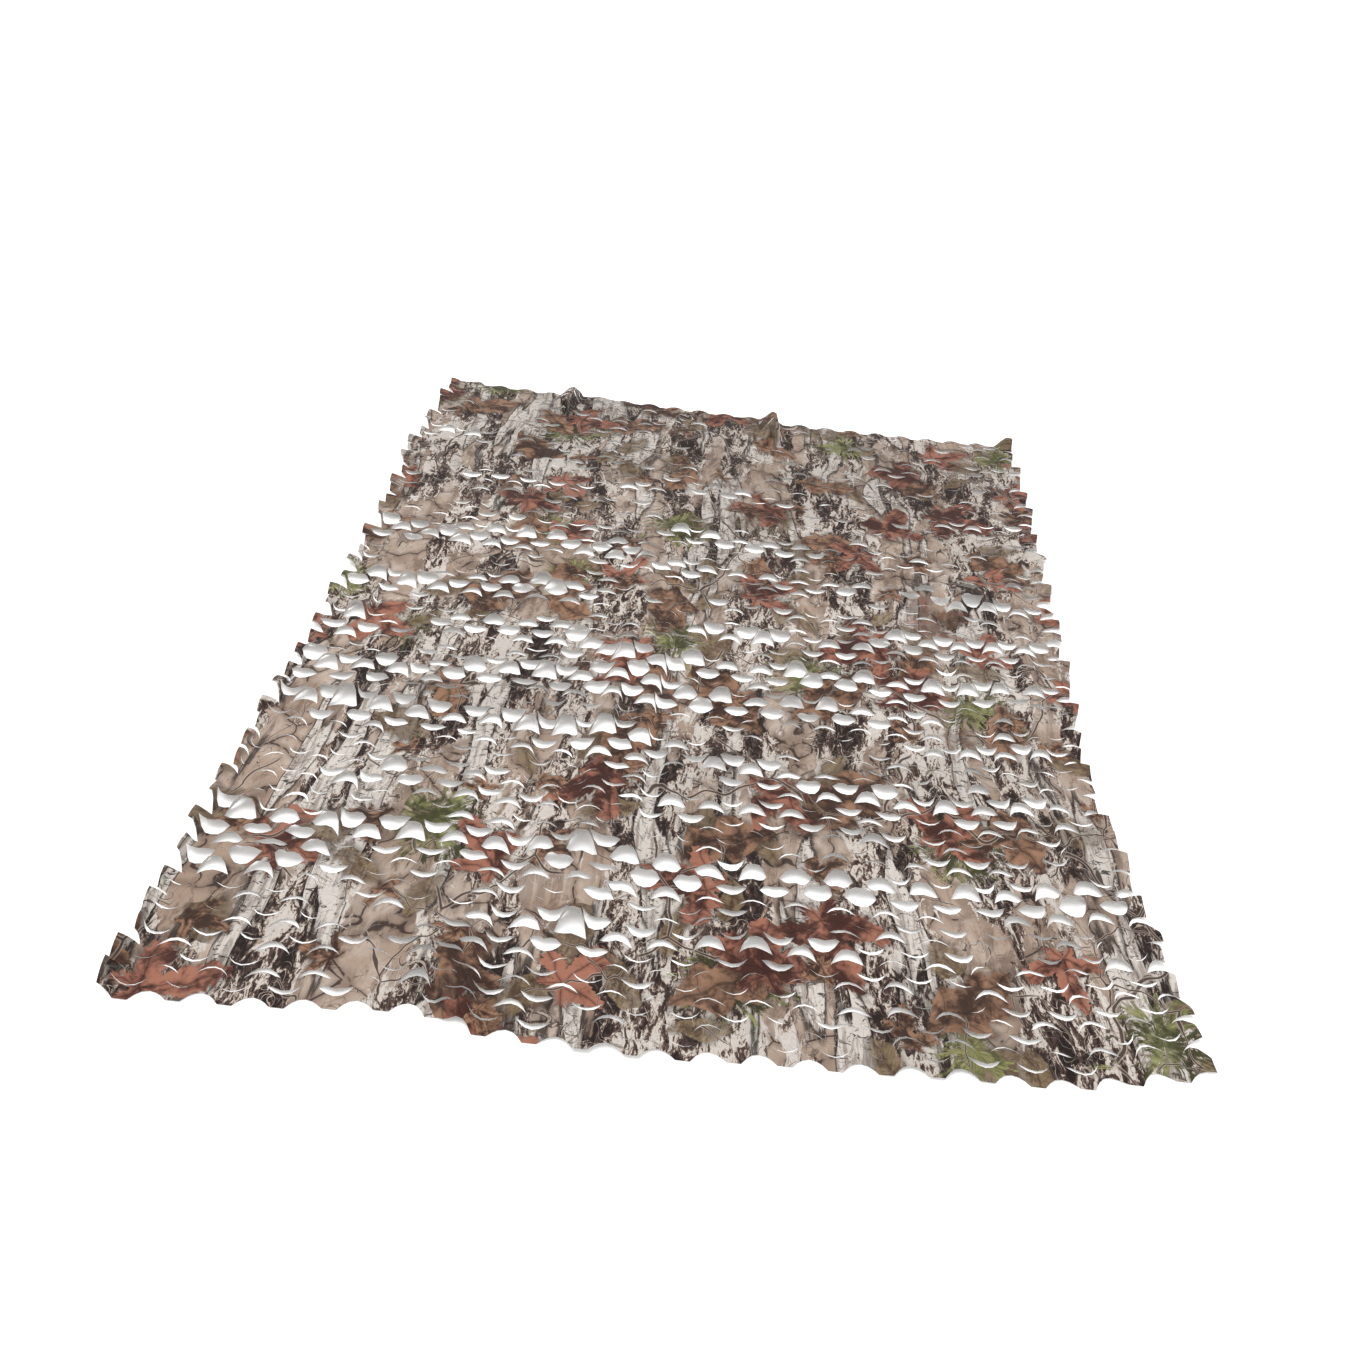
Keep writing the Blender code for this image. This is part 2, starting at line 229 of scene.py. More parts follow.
@dataclass
class DieCutCloth:
    """The net's one sheet of printed cloth. The number and the spacing of its slits are estimates."""

    name: str = "die_cut_cloth"
    columns: int = 22
    last_column_reach: float = 0.2  # cloth past the last column, as a share of the pitch
    rows: int = 43
    column_pitch: float = 0.0676
    row_pitch: float = 0.0427  # uncut cloth between two slits of a column
    slit_chord: float = 0.048
    slit_rise: float = 0.0145
    bridge_half: float = 0.0098  # of the cloth between two slits that arch forward
    thickness: float = 0.0007
    clearance: float = 0.0001  # between the floor and the reverse side
    centre_x: float = -0.0070  # of the sheet's box, taken off so that the origin is at its middle
    centre_y: float = 0.0030
    wave_height: float = 0.009
    wave_length_x: float = 0.46
    wave_length_y: float = 0.37
    wave_floor: float = 0.25
    unevenness: float = 0.0011  # of the cloth between its waves
    gap_back: float = 0.0003  # of a slit away from the bands, at the back edge
    gap_front: float = 0.0014  # what it gains towards the front edge
    widest_gap: float = 0.0185
    band_contrast: float = 1.5  # how sharply slits are either wide open or nearly shut
    squareness: float = 1.7  # of the ends of an open slit
    overlap: float = 0.0012  # how far a closed slit's far lip may lie over the near one
    jitter: float = 0.0005  # of a slit's gap, and then a share of it
    jitter_share: float = 0.20
    shut_slip: float = 0.0008  # how far a shut slit's lip slides forward
    shut_lift: float = 0.0003
    tuck: float = 0.0022  # how far a shut slit's near lip may ride up
    sway: float = 0.0008  # of a brick to either side
    turn: float = 0.025  # of a brick about Z, in radians
    bow: float = 0.0006  # of a brick's ends ahead of its middle, and then a share of its slit's gap
    bow_share: float = 0.14
    shut_gap: float = 0.006  # a slit with a wider gap doesn't shut
    shut_share: float = 0.66  # of the slits that may shut
    lip_curl: float = 0.0038
    lip_lift: float = 0.0010
    lip_lift_share: float = 0.55  # of a slit's gap
    front_lift: float = 0.0015  # of the front edge
    flap_reach: float = 0.024  # of the side flaps' free part
    flap_curl: float = 0.007  # of a flap's free edge, up from the floor
    flap_curl_left: float = 0.010  # what the left flaps nearest the front edge gain
    flap_droop: float = 0.003  # of the ends of a left flap below its middle
    flap_aim: float = 0.004  # of a flap towards the front or the back edge
    edge_shift: float = 0.007  # how much farther out the back end of a flap is than its front end
    spike: float = 0.008  # how far out the point of a spiky flap reaches
    spiky_rows: tuple[int, ...] = (0, 2, 5)  # whose right flaps end in a point
    spiky_share: float = 0.12  # of the other right flaps
    corner_reach: float = 0.040  # of the back right corner, which stands up
    corner_height: float = 0.023
    solver_turns: int = 20
    seed: int = 7

    def flat_width(self) -> float:
        """Returns the width of the cloth before it was slit and pulled."""
        return (self.columns + self.last_column_reach) * self.column_pitch

    def cut_columns(self) -> list[float]:
        """Returns the places across the flat cloth at which it has points."""
        half_chord = 0.5 * self.slit_chord
        steps = [0.0, self.bridge_half, 0.5 * (self.bridge_half + half_chord), half_chord]
        steps += [0.5 * self.column_pitch] + [self.column_pitch - step for step in reversed(steps[1:])]
        places = [column * self.column_pitch + step for column in range(self.columns) for step in steps]
        places += [self.columns * self.column_pitch + step for step in (0.0, self.bridge_half)]
        return sorted([*places, 0.5 * self.bridge_half, self.flat_width()])

    def off_column(self, across: float) -> float:
        """Returns the distance from a place across the cloth to the middle of the nearest column."""
        column = min(round(across / self.column_pitch), self.columns)
        return across - column * self.column_pitch

    def column_share(self, across: float, share: float) -> float:
        """Returns how much a point moves with the bricks of its column rather than those between columns.

        Args:
            across: the point's place across the flat cloth.
            share: how far along its brick the point is, from 0 at its front end to 1.
        """
        away = abs(self.off_column(across))
        if across > self.columns * self.column_pitch:
            return 1.0
        past = smooth_step((away - self.bridge_half) / (0.5 * self.slit_chord - self.bridge_half))
        at_columns = abs(2.0 * share - 1.0)
        wide = 1.0 - past**self.squareness
        narrow = (1.0 - past) ** self.squareness
        return wide * at_columns + narrow * (1.0 - at_columns)

    def line_place(self, across: float, level: int) -> float:
        """Finds a line of points along the flat cloth.

        Args:
            across: the place across the flat cloth.
            level: LINES_PER_ROW for each row, with slits that arch back on the first of them and slits that
                arch forward on the middle one.

        Returns:
            The distance from the apex of the front edge's hollows.
        """
        row, part = divmod(level, LINES_PER_ROW)
        away = abs(self.off_column(across))
        half_chord = 0.5 * self.slit_chord
        place = (row + LINE_SHARES[part]) * self.row_pitch
        back_arch = self.slit_rise * min(1.0, away / half_chord) ** 2
        between = max(0.0, 0.5 * self.column_pitch - away)
        front_arch = self.slit_rise * (1.0 - min(1.0, between / half_chord) ** 2)
        blend = abs(2.0 * LINE_SHARES[part] - 1.0)
        return place - back_arch * blend - front_arch * (1.0 - blend)

    def is_slit(self, across: float, level: int) -> bool:
        """Returns whether the cloth is cut through at a point of a line."""
        away = abs(self.off_column(across))
        half_chord = 0.5 * self.slit_chord - 1e-6
        row, part = divmod(level, LINES_PER_ROW)
        if part == 0:
            return 0 < row < self.rows and away < half_chord
        past_last = across > self.columns * self.column_pitch
        return part == MIDDLE_LINE and 0.5 * self.column_pitch - away < half_chord and not past_last

    def column_gaps(self, across: float, first_slit: float) -> list[float]:
        """Shares out the pull along one column.

        Args:
            across: the column's place, as a share of the width.
            first_slit: the place of its first slit along the flat cloth, in rows.

        Returns:
            The gap of each slit, front to back, so that the column ends at the back edge.
        """
        front = between_stations(ENDS, "front", across)
        back = between_stations(ENDS, "back", across)
        count = int(self.rows - first_slit - 0.25) + 1
        slack = back - front - self.slit_rise - self.rows * self.row_pitch
        pull = 1.0
        gaps: list[float] = []
        for _ in range(self.solver_turns):
            gaps = []
            banded = 0.0
            place = front + self.slit_rise
            for slit in range(count):
                place += first_slit * self.row_pitch if slit == 0 else self.row_pitch
                along = (place - front) / (back - front)
                uneven = 1.0 + 0.8 * noise.noise(Vector((5.0 * across, 0.37 * (slit + first_slit), 3.0)))
                opened = self.band_gap(across, along, pull)
                gap = (self.gap_back + self.gap_front * (1.0 - along) ** 2) * uneven + opened
                place += gap
                banded += opened
                gaps.append(gap)
            pull *= max(0.3, 1.0 + (slack - sum(gaps)) / max(banded, 0.02))
        return gaps

    def band_gap(self, across: float, along: float, pull: float) -> float:
        """Returns how much wider the bands open a slit than the rest, under a pull of about 1."""
        gap = 0.0
        for band in BANDS:
            middle = band.along + band.rise * (across - band.start) / (band.end - band.start)
            middle += 0.007 * noise.noise(Vector((6.0 * across, 9.0 * band.along, 1.0)))
            reach = math.exp(-(((along - middle) / BAND_HALF_LENGTH) ** 2))
            reach *= 1.0 + 0.8 * noise.noise(Vector((8.0 * across, 25.0 * along, 8.0)))
            reach *= smooth_step((across - band.start) / BAND_END_FADE + 0.5)
            reach *= smooth_step((band.end - across) / BAND_END_FADE + 0.5)
            gap += band.gap * reach
        return self.widest_gap * math.tanh((pull * gap / self.widest_gap) ** self.band_contrast)

    def column_bricks(self, across: float, first_slit: float, rng: random.Random) -> list[Brick]:
        """Returns a column's bricks, front to back; the first is the one at the front edge."""
        shift = between_stations(ENDS, "front", across) + self.slit_rise
        bricks = [Brick(shift=shift, lift=self.front_lift)]
        for gap in self.column_gaps(across, first_slit):
            shift += gap
            quiet = noise.noise(Vector((7.0 * across, 4.5 * shift, 12.0)))
            shut = gap < self.shut_gap and rng.random() < self.shut_share + 0.9 * quiet
            slip = rng.gauss(0.0, self.jitter + self.jitter_share * gap) - (self.shut_slip if shut else 0.0)
            placed = max(shift + slip, bricks[-1].shift - self.overlap)
            opened = max(0.0, placed - bricks[-1].shift)
            lift = (self.lip_lift + self.lip_lift_share * opened) * rng.uniform(0.5, 1.5)
            bricks[-1].tail = rng.uniform(0.0, self.tuck) if shut else rng.uniform(0.0, 0.15) * opened
            bricks.append(
                Brick(
                    shift=placed,
                    lift=self.shut_lift if shut else lift,
                    sway=rng.gauss(0.0, self.sway),
                    curl=self.lip_curl * (0.25 if shut else 1.5) * rng.random() ** 1.6,
                    swell=rng.uniform(-0.0004, 0.0018),
                    turn=rng.gauss(0.0, self.turn),
                    roll=rng.gauss(0.0, 0.02 + 2.0 * opened),
                    bow=rng.gauss(0.0, self.bow + self.bow_share * opened),
                )
            )
        return bricks

    def brick_move(self, brick: Brick, off: float, share: float) -> Vector:
        """Returns how far a brick carries one of its points.

        Args:
            brick: the brick.
            off: the point's distance to the right of the brick's middle.
            share: how far along the brick the point is, from 0 at its front end to 1.
        """
        curl = brick.curl * max(0.0, 1.0 - share / LINE_SHARES[1])
        return Vector(
            (
                brick.sway - brick.turn * (share - 0.5) * self.row_pitch,
                brick.shift + brick.turn * off + 0.55 * curl + brick.bow * (2.0 * off / self.slit_chord) ** 2,
                brick.lift * (1.0 - share) ** 1.25
                + brick.tail * share * share
                + curl
                + brick.swell * 4.0 * share * (1.0 - share)
                + brick.roll * off * (1.0 - 0.5 * share),
            )
        )

    def ridge_height(self, ridge: Ridge, x: float, y: float) -> tuple[float, Vector]:
        """Returns how far one fold lifts a point, and how far it draws the point sideways."""
        heading = math.radians(ridge.heading)
        run = Vector((math.sin(heading), math.cos(heading)))
        side = Vector((run.y, -run.x))
        offset = Vector((x - ridge.x, y - ridge.y))
        forward = abs(offset.dot(run)) / ridge.half_length
        sideways = offset.dot(side) / ridge.half_width
        sideways *= ridge.lean if sideways > 0.0 else 1.0
        reach = smooth_step(1.6 * (1.0 - forward))
        height = ridge.height * reach * smooth_step(1.15 * (1.0 - abs(sideways)))
        drawn = -ridge.pinch * reach * sideways * math.exp(-0.5 * sideways * sideways)
        return height, side * drawn

    def lay(self, point: Vector) -> Vector:
        """Adds the waves and folds of the whole sheet to a point, and a little unevenness of the cloth."""
        x, y, z = point
        wave = math.sin(2.0 * math.pi * (x / self.wave_length_x + 0.55 * y))
        wave *= math.sin(2.0 * math.pi * (y / self.wave_length_y - 0.40 * x))
        z += self.wave_height * max(0.0, wave - self.wave_floor)
        for ridge in RIDGES:
            height, drawn = self.ridge_height(ridge, x, y)
            z += height
            x += drawn.x
            y += drawn.y
        z += self.unevenness * noise.noise(Vector((22.0 * x, 26.0 * y, 5.0)))
        return Vector((x, y, z))

    def plan_x(self, across: float, y: float) -> float:
        """Returns where a column's place lies across the laid sheet."""
        share = across / self.flat_width()
        front = between_stations(ENDS, "front", share)
        back = between_stations(ENDS, "back", share)
        along = min(max((y - front) / (back - front), 0.0), 1.0)
        left = between_stations(SIDES, "left", along)
        right = between_stations(SIDES, "right", along)
        return left + (right - left) * share

    def all_bricks(self) -> tuple[list[list[Brick]], list[list[Brick]]]:
        """Returns the bricks of the columns, and those between the columns."""
        rng = random.Random(self.seed)
        step = 1.0 / (self.columns + self.last_column_reach)
        on_columns = [self.column_bricks(column * step, 1.0, rng) for column in range(self.columns + 1)]
        between = [self.column_bricks((column + 0.5) * step, 0.5, rng) for column in range(self.columns)]
        return on_columns, between

    def flap_move(self, across: float, row: int, share: float) -> Vector:
        """Returns how far the free flaps at the two long edges are splayed and curled.

        Args:
            across: the point's place across the flat cloth.
            row: which flap, from the front edge.
            share: how far along the flap the point is, from 0 at its front end to 1.
        """
        left = max(0.0, 1.0 - across / self.flap_reach)
        flaps_start = self.columns * self.column_pitch - self.flap_reach
        right = max(0.0, (across - flaps_start) / (self.flat_width() - flaps_start))
        if left + right == 0.0:
            return Vector()
        chance = random.Random(self.seed * 1000 + row * 2 + (1 if right > 0.0 else 0))
        curl = chance.uniform(0.0, self.flap_curl) * (1.0 - 0.6 * row / self.rows)
        aim = chance.gauss(0.0, self.flap_aim)
        if left > 0.0:
            curl += self.flap_curl_left * smooth_step(1.0 - row / 4.0)
            outward = self.edge_step(LEFT_STEPS, row, share) + chance.uniform(-0.002, 0.006)
            droop = self.flap_droop * math.sin(math.pi * share)
            return Vector((-left * outward, left * aim, (curl + droop) * left * left))
        spiky = row in self.spiky_rows or chance.random() < self.spiky_share
        taper = chance.uniform(0.35, 0.7) if spiky else chance.uniform(-0.1, 0.12)
        outward = self.edge_step(RIGHT_STEPS, row, share)
        outward += self.spike * (1.0 - share) - 0.002 if spiky else 0.0
        pinch = -(share - 0.45) * self.row_pitch * taper * right**2.4
        return Vector((outward * right, pinch + (aim - 0.002) * right * right, curl * right * right))

    def edge_step(self, steps: tuple[int, ...], row: int, share: float) -> float:
        """Returns how far outside its line a long edge runs.

        Args:
            steps: the rows at which the edge steps, as groups of flaps lie together.
            row: which flap, from the front edge.
            share: how far along the flap the point is, from 0 to 1.
        """
        start = max(step for step in steps if step <= min(row, steps[-2]))
        end = min(step for step in steps if step > start)
        return self.edge_shift * (end - start) * ((row + share - start) / (end - start) - 0.5)

    def place_point(
        self, across: float, level: int, lip: Lip, on_columns: list[list[Brick]], between: list[list[Brick]]
    ) -> Vector:
        """Returns where a point of the cloth lies.

        Args:
            across: its place across the flat cloth.
            level: its cut line or the line between two, as in line_place.
            lip: the side of the line that it is on.
            on_columns: the bricks of the columns.
            between: the bricks between the columns.
        """
        line = self.line_place(across, level)
        row, part = divmod(level, LINES_PER_ROW)
        if part == 0 and (lip is Lip.NEAR and row > 0 or row == self.rows):
            row, part = row - 1, LINES_PER_ROW
        share = LINE_SHARES[part]
        column = min(round(across / self.column_pitch), self.columns)
        off = across - column * self.column_pitch
        weight = self.column_share(across, share)
        move = self.brick_move(on_columns[column][row], off, share) * weight
        if weight < 1.0:
            gap_column = min(int(across / self.column_pitch), self.columns - 1)
            off_gap = across - (gap_column + 0.5) * self.column_pitch
            past_slit = part > MIDDLE_LINE or (part == MIDDLE_LINE and lip is Lip.FAR)
            brick = between[gap_column][row + 1 if past_slit else row]
            share_between = share - 0.5 if past_slit else share + 0.5
            move += self.brick_move(brick, off_gap, share_between) * (1.0 - weight)
        move += self.flap_move(across, row, share)
        y = line + move.y
        point = self.lay(Vector((self.plan_x(across, y) + move.x, y, move.z)))
        corner = Vector((point.x - SIDES[-1].right, point.y - ENDS[-1].back)).length / self.corner_reach
        point.z += self.corner_height * smooth_step(1.0 - corner)
        point.z = max(point.z, self.thickness + self.clearance)
        return point - Vector((self.centre_x, self.centre_y, 0.0))

    def top_side(self) -> bpy.types.Mesh:
        """Builds the printed side: a grid of faces cut along every slit, with its flat place as a UV map."""
        on_columns, between = self.all_bricks()
        places = self.cut_columns()
        levels = LINES_PER_ROW * self.rows
        bm = bmesh.new()
        flat = bm.loops.layers.uv.new("cut")
        verts: dict[tuple[int, int, Lip], bmesh.types.BMVert] = {}
        flat_of: dict[bmesh.types.BMVert, tuple[float, float]] = {}
        for i, across in enumerate(places):
            for level in range(levels + 1):
                far = bm.verts.new(self.place_point(across, level, Lip.FAR, on_columns, between))
                verts[i, level, Lip.FAR] = verts[i, level, Lip.NEAR] = far
                flat_of[far] = (across, self.line_place(across, level))
                if self.is_slit(across, level):
                    near = bm.verts.new(self.place_point(across, level, Lip.NEAR, on_columns, between))
                    verts[i, level, Lip.NEAR] = near
                    flat_of[near] = flat_of[far]
        for i in range(len(places) - 1):
            for level in range(levels):
                corners = (
                    verts[i, level, Lip.FAR],
                    verts[i + 1, level, Lip.FAR],
                    verts[i + 1, level + 1, Lip.NEAR],
                    verts[i, level + 1, Lip.NEAR],
                )
                face = bm.faces.new(corners)
                face.smooth = True
                for loop in face.loops:
                    loop[flat].uv = flat_of[loop.vert]
        mesh = bpy.data.meshes.new(self.name)
        self.give_thickness(bm, flat)
        bm.to_mesh(mesh)
        bm.free()
        return mesh

    def halve(self, face: bmesh.types.BMFace, at_rim: set[bmesh.types.BMVert]) -> None:
        """Cuts a face with four corners in two, so that neither half has all its corners at cuts."""
        first, second, third, fourth = face.verts
        across = (first.co - third.co).length > (second.co - fourth.co).length
        inner = [vert for vert in face.verts if vert not in at_rim]
        if len(inner) == 1:
            across = inner[0] in (second, fourth)
        ends = (second, fourth) if across else (first, third)
        bmesh.utils.face_split(face, *ends)

    def give_thickness(self, bm: bmesh.types.BMesh, flat: bmesh.types.BMLayerItem) -> None:
        """Adds the reverse side, which meets the printed one at every cut, and marks it as unprinted."""
        unprinted = bm.loops.layers.float.new("unprinted")
        rims = [edge for edge in bm.edges if edge.is_boundary]
        at_rim = {vert for edge in rims for vert in edge.verts}
        for face in list(bm.faces):
            self.halve(face, at_rim)
        bm.normal_update()
        below: dict[bmesh.types.BMVert, bmesh.types.BMVert] = {}
        for vert in list(bm.verts):
            low = vert.co - vert.normal * self.thickness
            low.z = max(low.z, 0.0)
            below[vert] = vert if vert in at_rim else bm.verts.new(low)
        for face in list(bm.faces):
            under = bm.faces.new([below[vert] for vert in reversed(face.verts)])
            under.smooth = True
            places = {below[loop.vert]: loop[flat].uv.copy() for loop in face.loops}
            for loop in under.loops:
                loop[flat].uv = places[loop.vert]
                loop[unprinted] = 1.0
        for edge in rims:
            edge.smooth = False

    def build(self, print_finish: "ForestPrint") -> bpy.types.Object:
        """Builds the sheet, dresses it, sets it in place of the CAD net and logs its name and number of
        faces.

        Args:
            print_finish: the finish of the cloth.

        Returns:
            The sheet's object.
        """
        mesh = self.top_side()
        mesh.materials.append(print_finish.material())
        sheet = bpy.data.objects.new(self.name, mesh)
        bpy.context.scene.collection.objects.link(sheet)
        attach(sheet, "root")
        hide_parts("net")
        LOG.info("%s: %d faces", self.name, len(mesh.polygons))
        return sheet


class Wire:
    """A socket in a material's nodes, on which Python's operators add nodes."""

    def __init__(self, sheet: "NodeSheet", socket: bpy.types.NodeSocket) -> None:
        """Wraps a socket of the sheet's node tree."""
        self.sheet = sheet
        self.socket = socket

    def __add__(self, other: "Wire | float") -> "Wire":
        """Returns the sum."""
        return self.sheet.maths("ADD", self, other)

    def __radd__(self, other: float) -> "Wire":
        """Returns the sum, with a number on the left."""
        return self.sheet.maths("ADD", other, self)

    def __sub__(self, other: "Wire | float") -> "Wire":
        """Returns the difference."""
        return self.sheet.maths("SUBTRACT", self, other)

    def __rsub__(self, other: float) -> "Wire":
        """Returns a number less this value."""
        return self.sheet.maths("SUBTRACT", other, self)

    def __mul__(self, other: "Wire | float") -> "Wire":
        """Returns the product."""
        return self.sheet.maths("MULTIPLY", self, other)

    def __rmul__(self, other: float) -> "Wire":
        """Returns the product, with a number on the left."""
        return self.sheet.maths("MULTIPLY", other, self)

    def __truediv__(self, other: "Wire | float") -> "Wire":
        """Returns the quotient."""
        return self.sheet.maths("DIVIDE", self, other)

    def __abs__(self) -> "Wire":
        """Returns the size without the sign."""
        return self.sheet.maths("ABSOLUTE", self)

    def __pow__(self, other: "Wire | float") -> "Wire":
        """Returns the power."""
        return self.sheet.maths("POWER", self, other)


Colour = tuple[float, float, float]
Value = Wire | float


class NodeSheet:
    """Writes one material's nodes."""

    def __init__(self, name: str) -> None:
        """Starts a material with only its output."""
        self.material = bpy.data.materials.new(name)
        self.material.use_nodes = True
        self.tree = self.material.node_tree
        self.tree.nodes.clear()

    def node(self, kind: str, settings: dict[str, object], inputs: dict[str | int, object]) -> bpy.types.Node:
        """Adds any node.

        Args:
            kind: the node's type.
            settings: its properties, which are set first.
            inputs: a value or a Wire for each socket, by name or number.
        """
        made = self.tree.nodes.new(kind)
        for key, value in settings.items():
            setattr(made, key, value)
        for key, value in inputs.items():
            if isinstance(value, Wire):
                self.tree.links.new(value.socket, made.inputs[key])
            else:
                made.inputs[key].default_value = value
        return made

    def wire(self, node: bpy.types.Node, output: str | int = 0) -> Wire:
        """Returns one output of a node."""
        return Wire(self, node.outputs[output])

    def maths(self, operation: str, *values: Value) -> Wire:
        """Returns the result of a Math node."""
        settings = {"operation": operation}
        return self.wire(self.node("ShaderNodeMath", settings, dict(enumerate(values))))

    def step(self, value: Value, low: float, high: float) -> Wire:
        """Returns 0 where a value is at low and 1 where it is at high, eased between; low may be greater."""
        settings = {"interpolation_type": "SMOOTHSTEP"}
        inputs = {"Value": value, "From Min": low, "From Max": high}
        return self.wire(self.node("ShaderNodeMapRange", settings, inputs))

    def vector(self, x: Value, y: Value, z: Value = 0.0) -> Wire:
        """Returns a vector from its parts."""
        return self.wire(self.node("ShaderNodeCombineXYZ", {}, {"X": x, "Y": y, "Z": z}))

    def parts(self, vector: Wire) -> tuple[Wire, Wire]:
        """Returns a vector's X and Y."""
        split = self.node("ShaderNodeSeparateXYZ", {}, {"Vector": vector})
        return self.wire(split, "X"), self.wire(split, "Y")

    def vector_maths(self, operation: str, first: Wire, second: Wire | Colour) -> Wire:
        """Returns the result of a Vector Math node."""
        return self.wire(self.node("ShaderNodeVectorMath", {"operation": operation}, {0: first, 1: second}))

    def scaled(self, vector: Wire, x: float, y: float, angle: float = 0.0, seed: float = 0.0) -> Wire:
        """Returns coordinates multiplied by x and y, turned by an angle and moved by a seed."""
        inputs = {"Vector": vector, "Location": (seed, 1.7 * seed, 0.0), "Rotation": (0.0, 0.0, angle)}
        inputs["Scale"] = (x, y, 1.0)
        return self.wire(self.node("ShaderNodeMapping", {}, inputs))

    def warped(self, vector: Wire, scale: float, amount: float, seed: float) -> Wire:
        """Returns coordinates bent by a noise, by up to about half of amount."""
        inputs = {"Vector": self.scaled(vector, 1.0, 1.0, 0.0, seed), "Scale": scale, "Detail": 2.0}
        bend = self.node("ShaderNodeTexNoise", {"noise_dimensions": "2D"}, inputs)
        centred = self.vector_maths("SUBTRACT", self.wire(bend, "Color"), (0.5, 0.5, 0.5))
        return self.vector_maths("ADD", vector, self.vector_maths("MULTIPLY", centred, (amount, amount, 0.0)))

    def noise(
        self, vector: Wire, scale: float, detail: float = 2.0, rough: float = 0.5, warp: float = 0.0
    ) -> Wire:
        """Returns a noise from 0 to 1."""
        inputs = {"Vector": vector, "Scale": scale, "Detail": detail, "Roughness": rough, "Distortion": warp}
        return self.wire(self.node("ShaderNodeTexNoise", {"noise_dimensions": "2D"}, inputs), 0)

    def cell_edges(self, vector: Wire, scale: float) -> Wire:
        """Returns the distance to the nearest edge between the cells of a random pattern."""
        settings = {"voronoi_dimensions": "2D", "feature": "DISTANCE_TO_EDGE"}
        inputs = {"Vector": vector, "Scale": scale, "Randomness": 1.0}
        return self.wire(self.node("ShaderNodeTexVoronoi", settings, inputs))

    def mix(self, share: Value, first: Wire | Colour, second: Wire | Colour) -> Wire:
        """Returns a mix of two colours, all second where share is 1."""
        settings = {"data_type": "RGBA"}
        inputs: dict[str | int, object] = {0: share}
        for socket, colour in ((6, first), (7, second)):
            inputs[socket] = colour if isinstance(colour, Wire) else (*colour, 1.0)
        return self.wire(self.node("ShaderNodeMix", settings, inputs), 2)


class LeafShape(Enum):
    """The kinds of leaf in the print."""

    STAR = "five pointed lobes"
    WAVY = "long, with wavy sides"
    OVAL = "oval"
    SPRIG = "sprig of needles"


@dataclass(frozen=True)
class LeafKind:
    """One kind of printed leaf, scattered over the cloth."""

    shape: LeafShape
    cell: float  # mean distance between two places for a leaf
    radius: float
    presence: float  # share of the places that hold one
    clump: float  # clumps in a metre
    base: Colour
    tip: Colour
    vein: Colour
    cover: float
    seed: float


OLIVE = ((0.040, 0.041, 0.013), (0.270, 0.270, 0.110), (0.020, 0.018, 0.010))
RUSSET = ((0.045, 0.014, 0.010), (0.300, 0.125, 0.082), (0.020, 0.007, 0.006))
BROWN = ((0.038, 0.018, 0.012), (0.265, 0.145, 0.088), (0.016, 0.009, 0.007))
OCHRE = ((0.095, 0.056, 0.028), (0.280, 0.200, 0.115), (0.042, 0.024, 0.015))

LEAF_KINDS = (
    LeafKind(LeafShape.OVAL, 0.105, 0.056, 0.30, 4.0, *OCHRE, cover=0.60, seed=1.9),
    LeafKind(LeafShape.SPRIG, 0.230, 0.105, 0.40, 3.0, *OLIVE, cover=0.95, seed=3.1),
    LeafKind(LeafShape.WAVY, 0.175, 0.092, 0.42, 3.0, *BROWN, cover=0.95, seed=5.3),
    LeafKind(LeafShape.STAR, 0.210, 0.108, 0.52, 2.6, *RUSSET, cover=0.97, seed=7.7),
    LeafKind(LeafShape.STAR, 0.130, 0.048, 0.24, 3.5, *BROWN, cover=0.95, seed=9.4),
)


